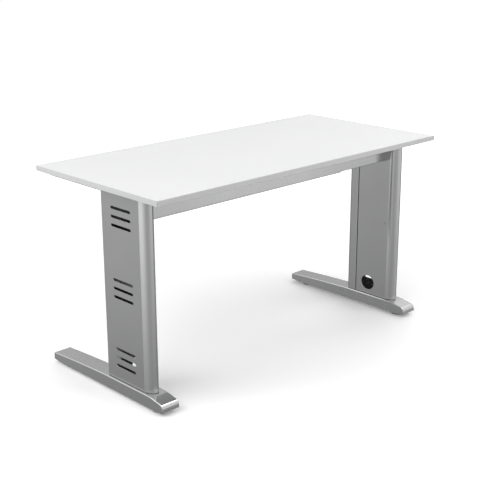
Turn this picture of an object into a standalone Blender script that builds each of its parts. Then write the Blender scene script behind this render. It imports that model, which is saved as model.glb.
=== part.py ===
"""Office desk: a white board top on a silver C-leg frame.

Each leg is a foot, a column and a support arm. The column is a cable duct: a bullnose
front upright, a rear tube, a fixed inner panel with a cable hole and a slotted outer
cover that lifts off. A two-piece cross rail under the top joins the columns.

Metres, +Z up. The origin is on the floor under the middle of the footprint. +X runs along
the desk, the user sits on the +Y side and the bullnoses face -Y.
"""

import math

import bmesh
import bpy
from mathutils import Matrix, Vector

# ---------------------------------------------------------------- driving dimensions

TOP_LENGTH = 1.400
TOP_DEPTH = 0.670
TOP_THICKNESS = 0.019
DESK_HEIGHT = 0.755
EDGE_BAND = 0.002

GAP = 0.0003                # clearance between touching pieces
UNDERSIDE = DESK_HEIGHT - TOP_THICKNESS
FRAME_TOP = UNDERSIDE - GAP

LEG_CENTRE = 0.637          # distance of each leg's middle plane from the desk's middle

FOOT_WIDTH = 0.072
FOOT_FRONT = -0.297
FOOT_REAR = TOP_DEPTH / 2
FOOT_TOP = 0.0545
FOOT_UNDERSIDE = 0.011
FOOT_WALL = 0.003

COLUMN_WIDTH = 0.052
COLUMN_REAR = 0.0095
COLUMN_FLOOR = FOOT_TOP + 0.0014       # a shadow gap: the column stands on its base plate
NOSE_TIP = -0.2258
NOSE_START = -0.1915        # where the bullnose leaves the flat sides
NOSE_BULGE = 1.077          # full half-width of the nose's ellipse over the column's

SHEET = 0.0015              # panels and covers
TUBE_WALL = 0.002           # uprights and rail
RAIL_FACE = -0.1676
RAIL_HEIGHT = 0.098
RAIL_DEPTH = 0.039
SLEEVE_END = 0.343          # where the rail's sleeve stops and its insert carries on

ARM_WIDTH = 0.040
ARM_HEIGHT = 0.020
ARM_WALL = 0.0025
ARM_FRONT = -0.198
ARM_REAR = 0.312

GLIDE_RADIUS = 0.026

HALF_COLUMN = COLUMN_WIDTH / 2
UPRIGHT_REAR = COLUMN_REAR - SHEET - GAP
REAR_TUBE_FRONT = -0.0301
GROOVE = 0.0036
PANEL_REAR = REAR_TUBE_FRONT - GROOVE
WEB_REAR = -0.165           # back of the front upright
ARM_FLOOR = FRAME_TOP - ARM_HEIGHT

SIDES = ((-1, "left"), (1, "right"))

# ---------------------------------------------------------------- scene and materials

for leftover in list(bpy.data.objects):
    bpy.data.objects.remove(leftover, do_unlink=True)

PARTS = bpy.data.collections.new("office_desk")
bpy.context.scene.collection.children.link(PARTS)
WORKSHOP = bpy.data.collections.new("cutters")
bpy.context.scene.collection.children.link(WORKSHOP)

# finish: colour, roughness, metallic
SILVER_PAINT = ((0.42, 0.43, 0.44), 0.38, 0.55)
WHITE_BOARD = ((0.86, 0.86, 0.86), 0.45, 0.0)
WHITE_EDGING = ((0.84, 0.84, 0.84), 0.40, 0.0)
ZINC_STEEL = ((0.62, 0.63, 0.64), 0.35, 1.0)
BLACK_STEEL = ((0.05, 0.05, 0.055), 0.45, 0.6)
GREY_PLASTIC = ((0.26, 0.27, 0.28), 0.50, 0.0)


def material_for(name, finish):
    """Gives a piece its own Principled BSDF material."""
    colour, roughness, metallic = finish
    material = bpy.data.materials.new(name)
    material.use_nodes = True
    shader = material.node_tree.nodes["Principled BSDF"]
    shader.inputs["Base Color"].default_value = (*colour, 1.0)
    shader.inputs["Roughness"].default_value = roughness
    shader.inputs["Metallic"].default_value = metallic
    return material


def add_part(name, mesh, finish, origin=(0.0, 0.0, 0.0)):
    """Adds a finished mesh, given in world space, as an object with its origin at a chosen point."""
    mesh.transform(Matrix.Translation(-Vector(origin)))
    mesh.name = name
    mesh.materials.clear()
    mesh.materials.append(material_for(name, finish))
    part = bpy.data.objects.new(name, mesh)
    part.location = origin
    PARTS.objects.link(part)
    return part


def add_leg_part(base_name, mesh, finish, origin=(0.0, 0.0, 0.0)):
    """Adds a piece drawn about its leg's middle plane to the right leg, and its mirror to the left."""
    for side, suffix in SIDES:
        placed = mesh.copy()
        placed.transform(Matrix.Translation((LEG_CENTRE, 0.0, 0.0)))
        if side < 0:
            placed.transform(Matrix.Scale(-1.0, 4, (1.0, 0.0, 0.0)))
            placed.flip_normals()
        point = (side * (LEG_CENTRE + origin[0]), origin[1], origin[2])
        add_part(f"{base_name}_{suffix}", placed, finish, point)


# ---------------------------------------------------------------- modelling helpers

TURN_TO_AXIS = {
    "X": Matrix(((0, 0, 1, 0), (1, 0, 0, 0), (0, 1, 0, 0), (0, 0, 0, 1))),
    "Y": Matrix(((0, 1, 0, 0), (0, 0, 1, 0), (1, 0, 0, 0), (0, 0, 0, 1))),
    "Z": Matrix.Identity(4),
}


def workpiece(data):
    """Puts a mesh or curve in the workshop as a wire object that isn't part of the model."""
    piece = bpy.data.objects.new("workpiece", data)
    piece.display_type = "WIRE"
    piece.hide_render = True
    WORKSHOP.objects.link(piece)
    return piece


def evaluated_mesh(piece):
    """The piece's mesh after its modifiers. The piece itself is removed."""
    bpy.context.view_layer.update()
    depsgraph = bpy.context.evaluated_depsgraph_get()
    mesh = bpy.data.meshes.new_from_object(piece.evaluated_get(depsgraph))
    bpy.data.objects.remove(piece, do_unlink=True)
    return mesh


def mesh_from(bm, name="mesh"):
    """Turns a bmesh into a mesh with its faces pointing out."""
    bmesh.ops.recalc_face_normals(bm, faces=bm.faces)
    mesh = bpy.data.meshes.new(name)
    bm.to_mesh(mesh)
    bm.free()
    return mesh


def box(low, high):
    """A box between two corners."""
    bm = bmesh.new()
    bmesh.ops.create_cube(bm, size=1.0)
    size = [high[axis] - low[axis] for axis in range(3)]
    middle = [(high[axis] + low[axis]) / 2 for axis in range(3)]
    bmesh.ops.scale(bm, vec=size, verts=bm.verts)
    bmesh.ops.translate(bm, vec=middle, verts=bm.verts)
    return mesh_from(bm)


def cylinder(radius, low, high, centre, axis="Z", segments=24):
    """A cylinder along an axis. The centre gives the two coordinates across that axis, in X, Y, Z order."""
    bm = bmesh.new()
    bmesh.ops.create_cone(bm, cap_ends=True, segments=segments, radius1=radius, radius2=radius,
                          depth=high - low)
    across = {"X": (centre[0], centre[1]), "Y": (centre[1], centre[0]), "Z": (centre[0], centre[1])}[axis]
    bmesh.ops.translate(bm, vec=(across[0], across[1], (low + high) / 2), verts=bm.verts)
    bmesh.ops.transform(bm, matrix=TURN_TO_AXIS[axis], verts=bm.verts)
    return mesh_from(bm)


def prism(outlines, low, high, axis="Z"):
    """Extrudes flat outlines along an axis. Outlines inside the first one become holes."""
    curve = bpy.data.curves.new("outline", "CURVE")
    curve.dimensions = "2D"
    curve.fill_mode = "BOTH"
    curve.extrude = (high - low) / 2
    for outline in outlines:
        spline = curve.splines.new("POLY")
        spline.points.add(len(outline) - 1)
        for point, (across, up) in zip(spline.points, outline):
            point.co = (across, up, 0.0, 1.0)
        spline.use_cyclic_u = True
    flat = evaluated_mesh(workpiece(curve))
    bm = bmesh.new()
    bm.from_mesh(flat)
    bmesh.ops.remove_doubles(bm, verts=bm.verts, dist=0.000002)
    bmesh.ops.translate(bm, vec=(0.0, 0.0, (low + high) / 2), verts=bm.verts)
    bmesh.ops.transform(bm, matrix=TURN_TO_AXIS[axis], verts=bm.verts)
    return mesh_from(bm)


def with_bends(corners, radius, steps=3):
    """Rounds each corner of an open path that isn't one of its two ends."""
    path = [corners[0]]
    for before, corner, after in zip(corners, corners[1:], corners[2:]):
        here = Vector(corner)
        back = (Vector(before) - here).normalized()
        onward = (Vector(after) - here).normalized()
        half_angle = back.angle(onward) / 2
        reach = radius / math.tan(half_angle)
        start = here + back * reach
        finish = here + onward * reach
        centre = here + (back + onward).normalized() * (radius / math.sin(half_angle))
        sweep_from = start - centre
        sweep_to = finish - centre
        for step in range(steps + 1):
            spoke = sweep_from.slerp(sweep_to, step / steps).normalized() * radius
            path.append(tuple(centre + spoke))
    path.append(corners[-1])
    return path


def folded_sheet(path, thickness, low, high, axis="Z"):
    """Sheet metal folded along a path and run along an axis. The metal lies left of the path."""
    bm = bmesh.new()
    rails = []
    for level in (low, high):
        rails.append([bm.verts.new((across, up, level)) for across, up in path])
    for index in range(len(path) - 1):
        bm.faces.new((rails[0][index], rails[0][index + 1], rails[1][index + 1], rails[1][index]))
    bmesh.ops.transform(bm, matrix=TURN_TO_AXIS[axis], verts=bm.verts)
    surface = bpy.data.meshes.new("surface")
    bm.to_mesh(surface)
    bm.free()
    sheet = workpiece(surface)
    solidify = sheet.modifiers.new("thickness", "SOLIDIFY")
    solidify.thickness = thickness
    solidify.offset = -1.0
    solidify.use_even_offset = True
    return evaluated_mesh(sheet)


def turned(profile, centre, segments=32, axis="Z"):
    """Turns a profile of (radius, height) points, listed from top to bottom, about an axis."""
    bm = bmesh.new()
    points = [bm.verts.new((radius, 0.0, height)) for radius, height in profile]
    for upper, lower in zip(points, points[1:]):
        bm.edges.new((upper, lower))
    outline = bpy.data.meshes.new("profile")
    bm.to_mesh(outline)
    bm.free()
    blank = workpiece(outline)
    screw = blank.modifiers.new("turn", "SCREW")
    screw.steps = segments
    screw.render_steps = segments
    screw.use_merge_vertices = True
    screw.merge_threshold = 0.00001
    mesh = evaluated_mesh(blank)
    mesh.transform(Matrix.Translation(centre) @ TURN_TO_AXIS[axis])
    mesh.shade_smooth()
    mesh.set_sharp_from_angle(angle=math.radians(35))
    return mesh


def cut(mesh, *cutters):
    """Takes each cutter's shape away from a mesh."""
    body = workpiece(mesh)
    tools = [workpiece(cutter) for cutter in cutters]
    for tool in tools:
        boolean = body.modifiers.new("cut", "BOOLEAN")
        boolean.operation = "DIFFERENCE"
        boolean.solver = "EXACT"
        boolean.object = tool
    result = evaluated_mesh(body)
    for tool in tools:
        bpy.data.objects.remove(tool, do_unlink=True)
    return result


def united(first, second):
    """Joins two overlapping or touching solids into one body."""
    body = workpiece(first)
    other = workpiece(second)
    boolean = body.modifiers.new("join", "BOOLEAN")
    boolean.operation = "UNION"
    boolean.solver = "EXACT"
    boolean.object = other
    result = evaluated_mesh(body)
    bpy.data.objects.remove(other, do_unlink=True)
    return result


def joined(*meshes):
    """Groups separate solids into one mesh."""
    bm = bmesh.new()
    for mesh in meshes:
        bm.from_mesh(mesh)
    group = bpy.data.meshes.new("group")
    bm.to_mesh(group)
    bm.free()
    return group


def rounded(mesh, radius, segments, chosen):
    """Bevels the edges for which chosen(middle point, direction) is true."""
    bm = bmesh.new()
    bm.from_mesh(mesh)
    bmesh.ops.dissolve_limit(bm, angle_limit=math.radians(0.5), verts=bm.verts, edges=bm.edges)
    edges = []
    for edge in bm.edges:
        start, end = (vert.co for vert in edge.verts)
        if chosen((start + end) / 2, (end - start).normalized()):
            edges.append(edge)
    bmesh.ops.bevel(bm, geom=edges, offset=radius, segments=segments, profile=0.5, affect="EDGES")
    return mesh_from(bm)


def arc(centre, radius_across, radius_up, start, end, steps):
    """Points along an elliptical arc, angles in degrees."""
    points = []
    for step in range(steps + 1):
        angle = math.radians(start + (end - start) * step / steps)
        points.append((centre[0] + radius_across * math.cos(angle), centre[1] + radius_up * math.sin(angle)))
    return points


# ---------------------------------------------------------------- desk top

SCREW_RADIUS = 0.002
PILOT_RADIUS = SCREW_RADIUS + 0.0004
SCREW_BITE = 0.012
ARM_SCREW_PLACES = {"front": 0.045, "rear": 0.285}          # along Y, on each arm
RAIL_SCREW_PLACES = {"left": -0.450, "right": 0.480}        # along X, on the rail
RAIL_SCREW_LINE = RAIL_FACE + RAIL_DEPTH / 2


def wood_screw(x, y, seat):
    """A pan-head screw driven up into the board, its head against a seat facing down."""
    head = 0.0028
    profile = (
        (0.0, UNDERSIDE + SCREW_BITE),
        (SCREW_RADIUS * 0.6, UNDERSIDE + SCREW_BITE - 0.003),
        (SCREW_RADIUS, UNDERSIDE + SCREW_BITE - 0.006),
        (SCREW_RADIUS, seat - GAP),
        (0.0042, seat - GAP),
        (0.0036, seat - GAP - head),
        (0.0, seat - GAP - head),
    )
    return turned(profile, (x, y, 0.0), segments=12)


def pilot_hole(x, y):
    return cylinder(PILOT_RADIUS, UNDERSIDE - 0.002, UNDERSIDE + SCREW_BITE + 0.001, (x, y), segments=12)


def desktop():
    """The chipboard panel, with blind holes for the screws, and its four edge bands."""
    inner_x = TOP_LENGTH / 2 - EDGE_BAND
    inner_y = TOP_DEPTH / 2 - EDGE_BAND
    board = box((-inner_x + GAP, -inner_y + GAP, UNDERSIDE), (inner_x - GAP, inner_y - GAP, DESK_HEIGHT))
    holes = [pilot_hole(side * LEG_CENTRE, y) for side, _ in SIDES for y in ARM_SCREW_PLACES.values()]
    holes += [pilot_hole(x, RAIL_SCREW_LINE) for x in RAIL_SCREW_PLACES.values()]
    add_part("desktop_board", cut(board, joined(*holes)), WHITE_BOARD)

    corner = 0.0008
    half_length = TOP_LENGTH / 2

    for sign, name in ((1, "edge_band_user_side"), (-1, "edge_band_visitor_side")):
        near, far = sorted((sign * inner_y, sign * TOP_DEPTH / 2))
        band = box((-half_length, near, UNDERSIDE), (half_length, far, DESK_HEIGHT))

        def is_outer(middle, _direction, face=sign * TOP_DEPTH / 2):
            return abs(middle.y - face) < 1e-6

        add_part(name, rounded(band, corner, 2, is_outer), WHITE_EDGING)

    for sign, name in SIDES:
        near, far = sorted((sign * inner_x, sign * half_length))
        band = box((near, -inner_y + GAP, UNDERSIDE), (far, inner_y - GAP, DESK_HEIGHT))

        def is_outer_long(middle, direction, face=sign * half_length):
            return abs(middle.x - face) < 1e-6 and abs(direction.y) > 0.9

        add_part(f"edge_band_{name}", rounded(band, corner, 2, is_outer_long), WHITE_EDGING)


# ---------------------------------------------------------------- foot and glides

FRONT_GLIDE = -0.240
REAR_GLIDE = 0.262
GLIDE_PLACES = {"front": FRONT_GLIDE, "rear": REAR_GLIDE}
TIP_RISE = 0.004            # how far the underside lifts at both tips
REAR_TIP_TOP = 0.0396
REAR_BULGE = 0.0016         # how far the top stands above a straight fall to the rear tip
KNEE = -0.2305              # where the foot's top starts to fall towards the front tip
FRONT_TIP_TOP = 0.0455
KNEE_REACH = 0.014          # how far the bend at the knee spreads to either side
FRONT_RADIUS = 0.017
TOE_RADIUS = 0.005          # the front's lower corner
EDGE_RADIUS = 0.003
STUD_RADIUS = 0.005
STUD_TOP = 0.036

COLUMN_BOLT_PLACES = {"front": -0.140, "rear": -0.058}       # along Y
BOLT_RADIUS = 0.004
BOLT_CLEARANCE = 0.0044


def foot_outline(inset=0.0):
    """The foot's side view as (Y, Z) points. With an inset it is the hollow, open below."""
    front = FOOT_FRONT + inset
    rear = FOOT_REAR - inset
    top = FOOT_TOP - inset
    radius = FRONT_RADIUS - inset
    tip_top = FRONT_TIP_TOP - inset
    slope = math.degrees(math.atan2(FOOT_TOP - FRONT_TIP_TOP, KNEE - FOOT_FRONT - FRONT_RADIUS))
    outline = [(rear, REAR_TIP_TOP - inset - 0.003), (rear - 0.003, REAR_TIP_TOP - inset)]
    outline += rear_fall((rear - 0.003, REAR_TIP_TOP - inset), (COLUMN_REAR + 0.006, top))
    outline += knee(top, slope)
    outline += arc((front + radius, tip_top - radius), radius, radius, 90 + slope, 180, 6)
    if inset:
        outline += [(front, -0.010), (rear, -0.010)]
    else:
        toe = (front + TOE_RADIUS, FOOT_UNDERSIDE + TIP_RISE + TOE_RADIUS)
        outline += arc(toe, TOE_RADIUS, TOE_RADIUS, 180, 264, 4) + [(FRONT_GLIDE - 0.022, FOOT_UNDERSIDE)]
        outline += [(REAR_GLIDE + 0.030, FOOT_UNDERSIDE), (rear, FOOT_UNDERSIDE + TIP_RISE)]
    return outline


def rear_fall(tip, column):
    """The gently arched top between the rear tip and the column, without the tip itself."""
    points = []
    for step in (1, 2, 3, 4):
        part = step / 4
        bulge = 4 * REAR_BULGE * part * (1 - part)
        points.append((tip[0] + (column[0] - tip[0]) * part, tip[1] + (column[1] - tip[1]) * part + bulge))
    return points


def knee(top, slope, steps=4):
    """The gentle bend from the level top into the fall towards the front tip."""
    points = []
    for step in range(steps + 1):
        part = step / steps
        drop = math.tan(math.radians(slope)) * KNEE_REACH * part * part
        points.append((KNEE + KNEE_REACH * (1 - 2 * part), top - drop))
    return points


def foot():
    """A formed steel shell, open below, with a rounded top and holes for the column's bolts."""
    half = FOOT_WIDTH / 2
    body = prism([foot_outline()], -half, half, "X")

    def is_side_edge(middle, direction):
        on_side = abs(abs(middle.x) - half) < 1e-6 and abs(direction.x) < 0.1
        return on_side and middle.z > FOOT_UNDERSIDE + TIP_RISE + TOE_RADIUS + 0.001

    body = rounded(body, EDGE_RADIUS, 3, is_side_edge)
    hollow = prism([foot_outline(FOOT_WALL)], -half + FOOT_WALL, half - FOOT_WALL, "X")
    holes = [cylinder(BOLT_CLEARANCE, FOOT_TOP - 0.01, FOOT_TOP + 0.01, (0.0, place), segments=16)
             for place in COLUMN_BOLT_PLACES.values()]
    add_leg_part("foot", cut(body, hollow, joined(*holes)), SILVER_PAINT)


def foot_fixings():
    """The threaded blocks that hold the glides, and the bolts between foot and column."""
    half = FOOT_WIDTH / 2 - FOOT_WALL - GAP
    for where, place in GLIDE_PLACES.items():
        block = box((-half, place - 0.018, FOOT_UNDERSIDE + 0.004),
                    (half, place + 0.018, FOOT_UNDERSIDE + 0.016))
        thread = cylinder(STUD_RADIUS + 0.0004, 0.0, 0.04, (0.0, place), segments=16)
        add_leg_part(f"glide_nut_{where}", cut(block, thread), BLACK_STEEL)

    seat = FOOT_TOP - FOOT_WALL - GAP
    profile = ((0.0, COLUMN_FLOOR + 0.010), (BOLT_RADIUS, COLUMN_FLOOR + 0.009), (BOLT_RADIUS, seat),
               (0.0065, seat), (0.0065, seat - 0.008), (0.0, seat - 0.008))
    for where, place in COLUMN_BOLT_PLACES.items():
        add_leg_part(f"column_bolt_{where}", turned(profile, (0.0, place, 0.0), segments=16), ZINC_STEEL)


def glides():
    """Levelling glides: a wide plastic pad under a threaded stud."""
    pad_top = FOOT_UNDERSIDE - GAP
    pad = ((0.0, pad_top), (GLIDE_RADIUS - 0.002, pad_top), (GLIDE_RADIUS, pad_top - 0.0018),
           (GLIDE_RADIUS, 0.0012), (GLIDE_RADIUS - 0.0012, 0.0), (0.0, 0.0))
    stud_foot = pad_top + GAP
    stud = ((0.0, STUD_TOP), (STUD_RADIUS - 0.001, STUD_TOP), (STUD_RADIUS, STUD_TOP - 0.001),
            (STUD_RADIUS, stud_foot), (0.0, stud_foot))
    for where, place in GLIDE_PLACES.items():
        origin = (0.0, place, 0.0)
        add_leg_part(f"glide_pad_{where}", turned(pad, origin), GREY_PLASTIC, origin)
        add_leg_part(f"glide_stud_{where}", turned(stud, origin, segments=16), ZINC_STEEL, origin)


# ---------------------------------------------------------------- column

CABLE_HOLE = (-0.0961, 0.1045)      # Y and Z of its centre
CABLE_HOLE_HALF_WIDTH = 0.0334
CABLE_HOLE_HALF_HEIGHT = 0.0305
TAPPED_HOLE = (-0.1773, 0.3797)
TAPPED_HOLE_RADIUS = 0.0025
SLOT_LENGTH = 0.105
SLOT_HEIGHT = 0.010
SLOT_MIDDLE = -0.095
SLOT_PITCH = 0.0303
SLOT_GROUPS = (0.1388, 0.3904, 0.6420)
COVER_RETURN = 0.0515       # across the column's back
PANEL_RETURN = 0.014


def nose_outline(inset=0.0):
    """The front upright's section: flat sides, an elliptical nose and a recess for the cover."""
    bulge = HALF_COLUMN * NOSE_BULGE
    start = math.degrees(math.acos(1 / NOSE_BULGE))
    reach = (NOSE_START - NOSE_TIP) / (1 - math.sin(math.radians(start)))
    centre = (0.0, NOSE_TIP + reach)
    side = HALF_COLUMN - inset
    recessed = HALF_COLUMN - SHEET - GAP - inset
    if inset:
        start = math.degrees(math.acos(recessed / (bulge - inset)))
    nose = arc(centre, bulge - inset, reach - inset, -180 + start, -start, 20)
    outline = [(-side, WEB_REAR - inset)] + nose
    if not inset:
        outline += [(recessed, NOSE_START)]
    outline += [(recessed, WEB_REAR - inset)]
    return outline


def arm_notch(knee_side=0.0):
    """The room that the support arm takes at the column's head, widened on the knee side if asked."""
    half = ARM_WIDTH / 2 + GAP
    return box((-half - knee_side, ARM_FRONT - GAP, ARM_FLOOR - GAP), (half, ARM_REAR, DESK_HEIGHT))


def front_upright():
    """The bullnose tube, notched for the arm, with a small tapped hole in its inner side."""
    tube = prism([nose_outline(), nose_outline(TUBE_WALL)], COLUMN_FLOOR, FRAME_TOP)
    tapped = cylinder(TAPPED_HOLE_RADIUS, -HALF_COLUMN - 0.004, -HALF_COLUMN + 0.006, TAPPED_HOLE, "X", 12)
    add_leg_part("front_upright", cut(tube, arm_notch(), tapped), SILVER_PAINT)


def rear_upright():
    """A rectangular tube, recessed where the cover laps over it."""
    outer = HALF_COLUMN - SHEET - GAP
    corners = ((-HALF_COLUMN, REAR_TUBE_FRONT), (outer, REAR_TUBE_FRONT),
               (outer, UPRIGHT_REAR), (-HALF_COLUMN, UPRIGHT_REAR))
    radius = 0.003
    outline = []
    hollow = []
    for index, (across, along) in enumerate(corners):
        inward = (1 if across < 0 else -1, 1 if index < 2 else -1)
        centre = (across + inward[0] * radius, along + inward[1] * radius)
        begin = 180 + 90 * index
        outline += arc(centre, radius, radius, begin, begin + 90, 3)
        hollow.append((across + inward[0] * TUBE_WALL, along + inward[1] * TUBE_WALL))
    tube = prism([outline, hollow], COLUMN_FLOOR, FRAME_TOP)
    add_leg_part("rear_upright", cut(tube, arm_notch()), SILVER_PAINT)


def inner_panel():
    """The fixed panel on the knee side, its edges folded inward, with the cable hole."""
    front = WEB_REAR + GAP
    corners = ((-HALF_COLUMN + PANEL_RETURN, front), (-HALF_COLUMN, front),
               (-HALF_COLUMN, PANEL_REAR), (-HALF_COLUMN + PANEL_RETURN, PANEL_REAR))
    path = with_bends(tuple(reversed(corners)), 0.0022)
    panel = folded_sheet(path, SHEET, COLUMN_FLOOR, FRAME_TOP)
    oval = arc(CABLE_HOLE, CABLE_HOLE_HALF_WIDTH, CABLE_HOLE_HALF_HEIGHT, 0, 351, 39)
    hole = prism([oval], -HALF_COLUMN - 0.005, -HALF_COLUMN + 0.005, "X")
    bolt_holes = [cylinder(BOLT_CLEARANCE, -HALF_COLUMN - 0.004, -HALF_COLUMN + 0.004, place, "X", 16)
                  for place in RAIL_BOLT_PLACES.values()]
    add_leg_part("inner_panel", cut(panel, hole, joined(*bolt_holes), arm_notch()), SILVER_PAINT)


def slot(height):
    """A cutter for one obround slot in the outer cover."""
    radius = SLOT_HEIGHT / 2
    reach = SLOT_LENGTH / 2 - radius
    outline = arc((SLOT_MIDDLE + reach, height), radius, radius, -90, 90, 8)
    outline += arc((SLOT_MIDDLE - reach, height), radius, radius, 90, 270, 8)
    return prism([outline], HALF_COLUMN - 0.005, HALF_COLUMN + 0.005, "X")


def outer_cover():
    """The lift-off cover: slotted, lapped over both uprights and folded round the column's back."""
    corners = ((HALF_COLUMN, NOSE_START + GAP), (HALF_COLUMN, COLUMN_REAR),
               (HALF_COLUMN - COVER_RETURN, COLUMN_REAR))
    sheet = folded_sheet(with_bends(corners, 0.003), SHEET, COLUMN_FLOOR, FRAME_TOP)
    slots = [slot(group + row * SLOT_PITCH) for group in SLOT_GROUPS for row in (-1, 0, 1)]
    origin = (HALF_COLUMN, SLOT_MIDDLE, (COLUMN_FLOOR + FRAME_TOP) / 2)
    way_out = arm_notch(HALF_COLUMN - ARM_WIDTH / 2)       # lets the back slide past the arm
    add_leg_part("outer_cover", cut(sheet, joined(*slots), way_out), SILVER_PAINT, origin)

    inner_face = HALF_COLUMN - SHEET - GAP
    middle = (COLUMN_FLOOR + ARM_FLOOR) / 2
    for where, edge, inward in (("front", WEB_REAR + GAP, 1), ("rear", REAR_TUBE_FRONT - GAP, -1)):
        path = ((inner_face - 0.013, edge), (inner_face, edge), (inner_face, edge + inward * 0.012))
        if inward < 0:
            path = tuple(reversed(path))
        clip = folded_sheet(path, 0.0012, middle - 0.015, middle + 0.015)
        add_leg_part(f"cover_clip_{where}", clip, ZINC_STEEL, origin)


def column_fixings():
    """The base plate that takes the foot's bolts, and the bracket behind the rail's end."""
    front = WEB_REAR + GAP + SHEET + GAP
    base = box((-HALF_COLUMN + SHEET + 0.001, front, FOOT_TOP + GAP),
               (HALF_COLUMN - SHEET - 0.001, PANEL_REAR - SHEET - 2 * GAP, COLUMN_FLOOR + 0.005))
    threads = [cylinder(BOLT_CLEARANCE, FOOT_TOP - 0.002, COLUMN_FLOOR + 0.008, (0.0, place), segments=16)
               for place in COLUMN_BOLT_PLACES.values()]
    add_leg_part("column_base_plate", cut(base, joined(*threads)), BLACK_STEEL)

    face = -HALF_COLUMN + SHEET + GAP
    corners = ((0.012, front + GAP), (face, front + GAP), (face, front + 0.048))
    bracket = folded_sheet(with_bends(tuple(reversed(corners)), 0.0045), 0.004, 0.642, 0.712)
    holes = [cylinder(BOLT_CLEARANCE, face - 0.002, face + 0.008, place, "X", 16)
             for place in RAIL_BOLT_PLACES.values()]
    add_leg_part("rail_bracket", cut(bracket, joined(*holes)), BLACK_STEEL)


# ---------------------------------------------------------------- cross rail and support arms

RAIL_FLOOR = FRAME_TOP - RAIL_HEIGHT
RAIL_LIP = 0.010
PLATE = 0.004
PLATE_FACE = LEG_CENTRE - HALF_COLUMN - GAP        # against the column
RAIL_END = PLATE_FACE - PLATE - GAP
RAIL_BOLT_PLACES = {"lower": (RAIL_SCREW_LINE + 0.002, 0.664), "upper": (RAIL_SCREW_LINE + 0.002, 0.702)}
JOINT_SCREW_PLACES = {"left": 0.225, "right": 0.295}
INSERT_STEP = TUBE_WALL + GAP
INSERT_START = SLEEVE_END - 0.160


def rail_path(step):
    """A channel open towards the user, with small lips. A step insets it on every side."""
    front = RAIL_FACE + step
    rear = RAIL_FACE + RAIL_DEPTH - step
    low = RAIL_FLOOR + step
    high = FRAME_TOP - step
    corners = ((rear, high - RAIL_LIP), (rear, high), (front, high), (front, low), (rear, low),
               (rear, low + RAIL_LIP))
    return with_bends(corners, 0.0035 - step * 0.5)


def cross_rail():
    """A sleeve from the left leg and an insert to the right one, screwed where they overlap."""
    sleeve = folded_sheet(rail_path(0.0), TUBE_WALL, -RAIL_END, SLEEVE_END, "X")
    insert = folded_sheet(rail_path(INSERT_STEP), TUBE_WALL, INSERT_START, RAIL_END, "X")
    top_holes = [cylinder(PILOT_RADIUS, FRAME_TOP - 0.008, FRAME_TOP + 0.004, (x, RAIL_SCREW_LINE), segments=12)
                 for x in RAIL_SCREW_PLACES.values()]
    joint_holes = [cylinder(0.0034, RAIL_FLOOR - 0.004, RAIL_FLOOR + 0.008, (x, RAIL_SCREW_LINE), segments=16)
                   for x in JOINT_SCREW_PLACES.values()]
    holes = joined(*top_holes, *joint_holes)
    add_part("cross_rail_sleeve", cut(sleeve, holes.copy()), SILVER_PAINT)
    add_part("cross_rail_insert", cut(insert, holes), SILVER_PAINT)

    floor = RAIL_FLOOR - GAP
    profile = ((0.0, floor + 0.012), (0.003, floor + 0.012), (0.003, floor), (0.006, floor),
               (0.005, floor - 0.0033), (0.0, floor - 0.0033))
    for where, x in JOINT_SCREW_PLACES.items():
        screw = turned(profile, (x, RAIL_SCREW_LINE, 0.0), segments=16)
        add_part(f"rail_joint_screw_{where}", screw, ZINC_STEEL)

    seats = {"left": FRAME_TOP - TUBE_WALL, "right": FRAME_TOP - INSERT_STEP - TUBE_WALL}
    for where, x in RAIL_SCREW_PLACES.items():
        add_part(f"rail_top_screw_{where}", wood_screw(x, RAIL_SCREW_LINE, seats[where]), ZINC_STEEL)


def rail_ends():
    """The plates on the rail's two ends, and the bolts that hold them to the columns' brackets."""
    outer = PLATE_FACE - LEG_CENTRE
    plate = box((outer - PLATE, RAIL_FACE - 0.0012, RAIL_FLOOR),
                (outer, RAIL_FACE + RAIL_DEPTH + 0.004, FRAME_TOP))
    holes = [cylinder(BOLT_CLEARANCE, outer - 0.006, outer + 0.002, place, "X", 16)
             for place in RAIL_BOLT_PLACES.values()]
    add_leg_part("rail_end_plate", cut(plate, joined(*holes)), SILVER_PAINT)

    seat = outer - PLATE - GAP
    profile = ((0.0, seat + 0.018), (BOLT_RADIUS, seat + 0.017), (BOLT_RADIUS, seat), (0.0070, seat),
               (0.0062, seat - 0.0036), (0.0040, seat - 0.0048), (0.0, seat - 0.0048))
    for where, (along, up) in RAIL_BOLT_PLACES.items():
        bolt = turned(profile, (0.0, along, up), segments=16, axis="X")
        add_leg_part(f"rail_bolt_{where}", bolt, ZINC_STEEL)


def support_arms():
    """The channels that carry the top, their screws, and the plugs in their rear ends."""
    half = ARM_WIDTH / 2
    corners = ((-half, ARM_FLOOR), (-half, FRAME_TOP), (half, FRAME_TOP), (half, ARM_FLOOR))
    path = [(up, across) for across, up in with_bends(corners, 0.004)]
    channel = folded_sheet(path, ARM_WALL, ARM_FRONT, ARM_REAR, "Y")
    holes = [cylinder(PILOT_RADIUS, FRAME_TOP - 0.008, FRAME_TOP + 0.004, (0.0, y), segments=12)
             for y in ARM_SCREW_PLACES.values()]
    add_leg_part("support_arm", cut(channel, joined(*holes)), SILVER_PAINT)

    for where, y in ARM_SCREW_PLACES.items():
        add_leg_part(f"arm_screw_{where}", wood_screw(0.0, y, FRAME_TOP - ARM_WALL), ZINC_STEEL)

    slack = 0.0012              # clears the channel's bends
    inside = half - ARM_WALL - slack
    plug = box((-inside, ARM_REAR - 0.014, ARM_FLOOR + 0.0008),
               (inside, ARM_REAR + 0.001, FRAME_TOP - ARM_WALL - slack))
    flange = box((-half, ARM_REAR + GAP, ARM_FLOOR), (half, ARM_REAR + 0.0025, FRAME_TOP))
    add_leg_part("arm_end_plug", united(plug, flange), GREY_PLASTIC)


# ---------------------------------------------------------------- assembly

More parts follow.
